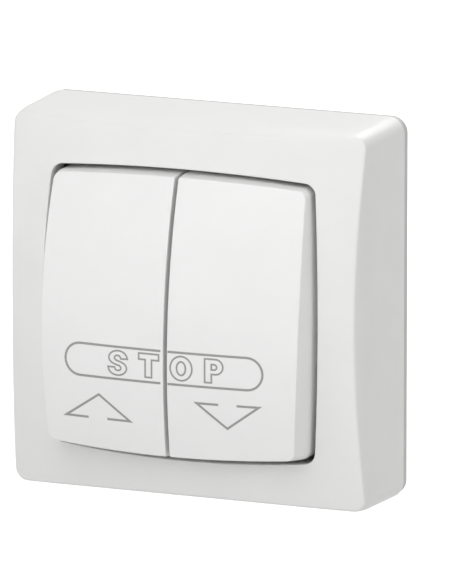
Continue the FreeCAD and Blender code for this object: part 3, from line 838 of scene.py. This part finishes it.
def floor_material():
    """Pale paper, seen lighter than it lights, so that it turns white away from the object's shadow."""
    material, tree, shader, coords = new_material("floor_paper", paper_middle, paper_roughness)
    toned(tree, shader, noise(tree, coords, paper_scale), paper_dark, paper_light)
    glow = tree.nodes.new("ShaderNodeEmission")
    glow.inputs["Color"].default_value = WHITE
    away = tree.nodes.new("ShaderNodeVectorMath")
    away.operation = "LENGTH"
    tree.links.new(coords.outputs["Object"], away.inputs[0])
    lift = tree.nodes.new("ShaderNodeMapRange")
    for name, value in (("From Min", shadow_reach), ("From Max", white_reach),
                        ("To Min", near_lift), ("To Max", far_lift)):
        lift.inputs[name].default_value = value
    tree.links.new(away.outputs["Value"], lift.inputs["Value"])
    strength = tree.nodes.new("ShaderNodeMath")
    strength.operation = "MULTIPLY"
    tree.links.new(seen_ray(tree), strength.inputs[0])
    tree.links.new(lift.outputs["Result"], strength.inputs[1])
    tree.links.new(strength.outputs["Value"], glow.inputs["Strength"])
    both = tree.nodes.new("ShaderNodeAddShader")
    tree.links.new(shader.outputs["BSDF"], both.inputs[0])
    tree.links.new(glow.outputs["Emission"], both.inputs[1])
    tree.links.new(both.outputs["Shader"], tree.nodes["Material Output"].inputs["Surface"])
    return material


# Camera: the photograph's angle in degrees, distance in metres, lens in millimetres and framing
camera_azimuth = 22.93
camera_elevation = 12.10
camera_distance = 2.1972
camera_lens = 891.6
camera_sensor = 36.0
aim_right = -0.000546
aim_up = -0.000218


def make_camera():
    azimuth = math.radians(camera_azimuth)
    elevation = math.radians(camera_elevation)
    right = Vector((math.cos(azimuth), math.sin(azimuth), 0))
    back = Vector((math.sin(azimuth) * math.cos(elevation), -math.cos(azimuth) * math.cos(elevation),
                   math.sin(elevation)))
    up = back.cross(right)
    lens = bpy.data.cameras.new("camera")
    lens.sensor_fit = "HORIZONTAL"
    lens.sensor_width = camera_sensor
    lens.lens = camera_lens
    holder = bpy.data.objects.new("camera", lens)
    holder.location = right * aim_right + up * aim_up + back * camera_distance
    holder.rotation_euler = back.to_track_quat("Z", "Y").to_euler()
    bpy.context.scene.collection.objects.link(holder)
    bpy.context.scene.camera = holder


# Stage and light, in metres and watts: the floor starts to turn white shadow_reach from the frame's
# origin and is white at white_reach; each light's row is its direction and its power
floor_half = 3.0
floor_drop = 0.16
shadow_reach = 0.35
white_reach = 0.9
near_lift = 0.45
far_lift = 0.9
light_distance = 1.6
light_size = 1.1
sky_strength = 0.02
lights = {
    "front": ((0.0, -1.0, 0.25), 3.4),
    "front_left": ((-0.7, -1.0, 0.25), 5.2),
    "front_high": ((0.1, -1.0, 0.9), 8.6),
    "right": ((1.0, -0.2, 0.2), 6.7),
    "right_high": ((1.0, -0.6, 0.8), 2.4),
    "top": ((-0.2, -0.25, 1.0), 6.0),
    "low": ((0.2, -1.0, -0.45), 2.4),
    "back_high": ((0.0, 1.0, 1.0), 10.5),
}


def make_stage():
    level = cad_box[0].z - floor_drop
    signs = ((-1, -1), (1, -1), (1, 1), (-1, 1))
    corners = [Vector((x * floor_half, y * floor_half, level)) / MM for x, y in signs]
    new_object("floor", corners, [(0, 1, 2, 3)], floor_material())
    world = bpy.data.worlds.new("studio")
    world.use_nodes = True
    white_sky(world, sky_strength)
    bpy.context.scene.world = world
    middle = (cad_box[0] + cad_box[1]) / 2
    for name, (way, power) in lights.items():
        light_panel(name, middle + Vector(way).normalized() * light_distance, light_size, power, middle)
    bpy.context.scene.view_settings.view_transform = "Standard"


def finish_nodes(materials):
    """Gives every carried-over node the finish of its slot."""
    for row in frame["record"]["subparts"]:
        node = frame["nodes"][row["node"]]
        node.data.materials.clear()
        node.data.materials.append(materials[row["material_slot"]])


materials = {
    "white_plastic": moulded("white_moulding", dark=(0.835, 0.835, 0.825), light=(0.855, 0.855, 0.845),
                             roughness=0.34, grain=5200.0, grain_height=0.000004),
    "grey_plastic": moulded("grey_moulding", dark=(0.50, 0.51, 0.51), light=(0.54, 0.55, 0.55),
                            roughness=0.5, grain=3000.0, grain_height=0.00001),
    "natural_plastic": moulded("natural_moulding", dark=(0.62, 0.59, 0.49), light=(0.67, 0.64, 0.54),
                               roughness=0.38, grain=3600.0, grain_height=0.000006),
    "brass": metal("stamped_brass", dark=(0.66, 0.46, 0.17), light=(0.78, 0.57, 0.24),
                   roughness=0.3, stretch=(1, 1, 0.04), line_height=0.000004),
    "silver": metal("silver_rivet", dark=(0.76, 0.75, 0.72), light=(0.86, 0.85, 0.82),
                    roughness=0.25, stretch=(1, 1, 1), line_height=0.000003),
    "spring_steel": metal("spring_steel", dark=(0.40, 0.40, 0.41), light=(0.52, 0.52, 0.53),
                          roughness=0.3, stretch=(0.05, 1, 1), line_height=0.000002),
    "plated_steel": metal("plated_steel", dark=(0.58, 0.59, 0.60), light=(0.68, 0.69, 0.69),
                          roughness=0.32, stretch=(1, 0.2, 1), line_height=0.000004),
}
finish_nodes(materials)
# The keys get a slightly lighter white than the housing's, so that they read brighter than the bezel around
# them.
key_plastic = moulded("key_moulding", dark=(0.865, 0.865, 0.86), light=(0.885, 0.885, 0.88),
                      roughness=0.36, grain=5200.0, grain_height=0.000004)
# The wall plate gets a grey far darker than its white slot, so that its rim shows as a dark line along the
# housing's back edge.
plate_plastic = moulded("plate_moulding", dark=(0.56, 0.56, 0.55), light=(0.60, 0.60, 0.59),
                        roughness=0.5, grain=4200.0, grain_height=0.000006)
frame["nodes"]["wall_plate"].data.materials[0] = plate_plastic
make_housing(materials["white_plastic"])
make_key("left", key_plastic)
make_key("right", key_plastic)
make_print(ink_material())
make_camera()
make_stage()
